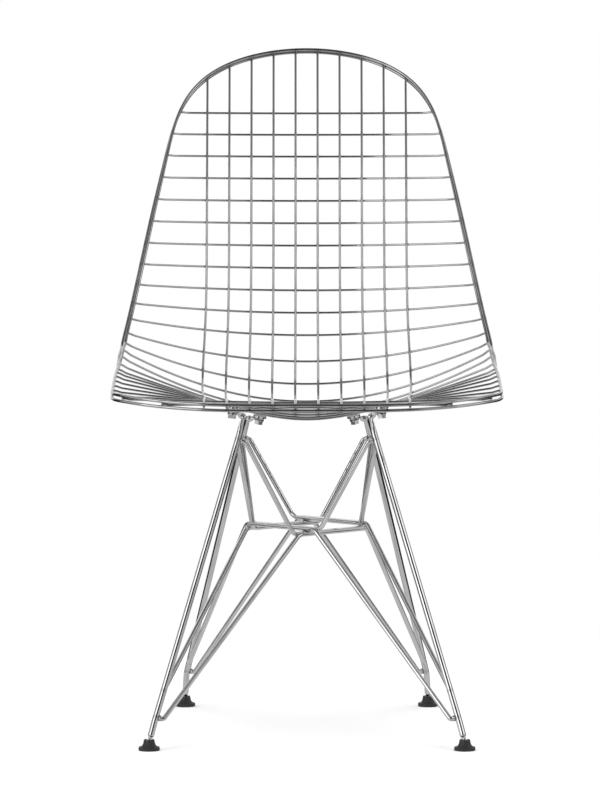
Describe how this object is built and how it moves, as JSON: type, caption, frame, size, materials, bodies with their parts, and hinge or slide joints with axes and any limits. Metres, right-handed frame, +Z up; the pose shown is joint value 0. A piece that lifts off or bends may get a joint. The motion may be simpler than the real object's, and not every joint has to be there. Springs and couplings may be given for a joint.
{
  "type": "wire mesh chair",
  "caption": "Side chair with a one-piece bent wire mesh shell bolted to a welded rod base of splayed legs and crossed struts, standing on swivel glides.",
  "frame": {"origin": "middle of the chair's box at floor level, under the seat", "axes": "+X to the right as seen from the front, +Y towards the back of the chair, +Z up from the floor"},
  "size_m": [0.4832, 0.547, 0.8453],
  "materials": {
    "chromed_steel": "polished",
    "zinc_steel": "satin",
    "glide_plastic": "matte"
  },
  "bodies": {
    "chair": {"cross_wire_01": "chromed_steel", "cross_wire_02": "chromed_steel", "cross_wire_03": "chromed_steel", "cross_wire_04": "chromed_steel", "cross_wire_05": "chromed_steel", "cross_wire_06": "chromed_steel", "cross_wire_07": "chromed_steel", "cross_wire_08": "chromed_steel", "cross_wire_09": "chromed_steel", "cross_wire_10": "chromed_steel", "cross_wire_11": "chromed_steel", "cross_wire_12": "chromed_steel", "cross_wire_13": "chromed_steel", "cross_wire_14": "chromed_steel", "cross_wire_15": "chromed_steel", "cross_wire_16": "chromed_steel", "cross_wire_17": "chromed_steel", "cross_wire_18": "chromed_steel", "cross_wire_19": "chromed_steel", "cross_wire_20": "chromed_steel", "cross_wire_21": "chromed_steel", "cross_wire_22": "chromed_steel", "cross_wire_23": "chromed_steel", "cross_wire_24": "chromed_steel", "cross_wire_25": "chromed_steel", "leg_front_left": "chromed_steel", "leg_front_right": "chromed_steel", "leg_rear_left": "chromed_steel", "leg_rear_right": "chromed_steel", "lengthwise_wire_left_1": "chromed_steel", "lengthwise_wire_left_2": "chromed_steel", "lengthwise_wire_left_3": "chromed_steel", "lengthwise_wire_left_4": "chromed_steel", "lengthwise_wire_left_5": "chromed_steel", "lengthwise_wire_right_1": "chromed_steel", "lengthwise_wire_right_2": "chromed_steel", "lengthwise_wire_right_3": "chromed_steel", "lengthwise_wire_right_4": "chromed_steel", "lengthwise_wire_right_5": "chromed_steel", "lower_strut_front_left": "chromed_steel", "lower_strut_front_right": "chromed_steel", "lower_strut_rear_left": "chromed_steel", "lower_strut_rear_right": "chromed_steel", "mount_bolts": "zinc_steel", "mount_washers": "zinc_steel", "rim_lower_wire": "chromed_steel", "rim_upper_wire": "chromed_steel", "seat_mount_front_left": "chromed_steel", "seat_mount_front_right": "chromed_steel", "seat_mount_rear_left": "chromed_steel", "seat_mount_rear_right": "chromed_steel", "upper_strut_front_left": "chromed_steel", "upper_strut_front_right": "chromed_steel", "upper_strut_rear_left": "chromed_steel", "upper_strut_rear_right": "chromed_steel"},
    "glide_front_left": {"glide_front_left": "glide_plastic"},
    "glide_front_right": {"glide_front_right": "glide_plastic"},
    "glide_rear_left": {"glide_rear_left": "glide_plastic"},
    "glide_rear_right": {"glide_rear_right": "glide_plastic"}
  },
  "joints": [
    {"name": "glide_front_left_tilt", "type": "hinge", "parent": "chair", "child": "glide_front_left", "pos_m": [-0.1925, -0.25554, 0.01], "axis": [0.7598, -0.6501, 0], "range_deg": [-10, 10]},
    {"name": "glide_front_right_tilt", "type": "hinge", "parent": "chair", "child": "glide_front_right", "pos_m": [0.1925, -0.25554, 0.01], "axis": [0.7598, 0.6501, 0], "range_deg": [-10, 10]},
    {"name": "glide_rear_left_tilt", "type": "hinge", "parent": "chair", "child": "glide_rear_left", "pos_m": [-0.1566, 0.15146, 0.01], "axis": [0.9672, 0.254, 0], "range_deg": [-10, 10]},
    {"name": "glide_rear_right_tilt", "type": "hinge", "parent": "chair", "child": "glide_rear_right", "pos_m": [0.1566, 0.15146, 0.01], "axis": [0.9672, -0.254, 0], "range_deg": [-10, 10]}
  ]
}
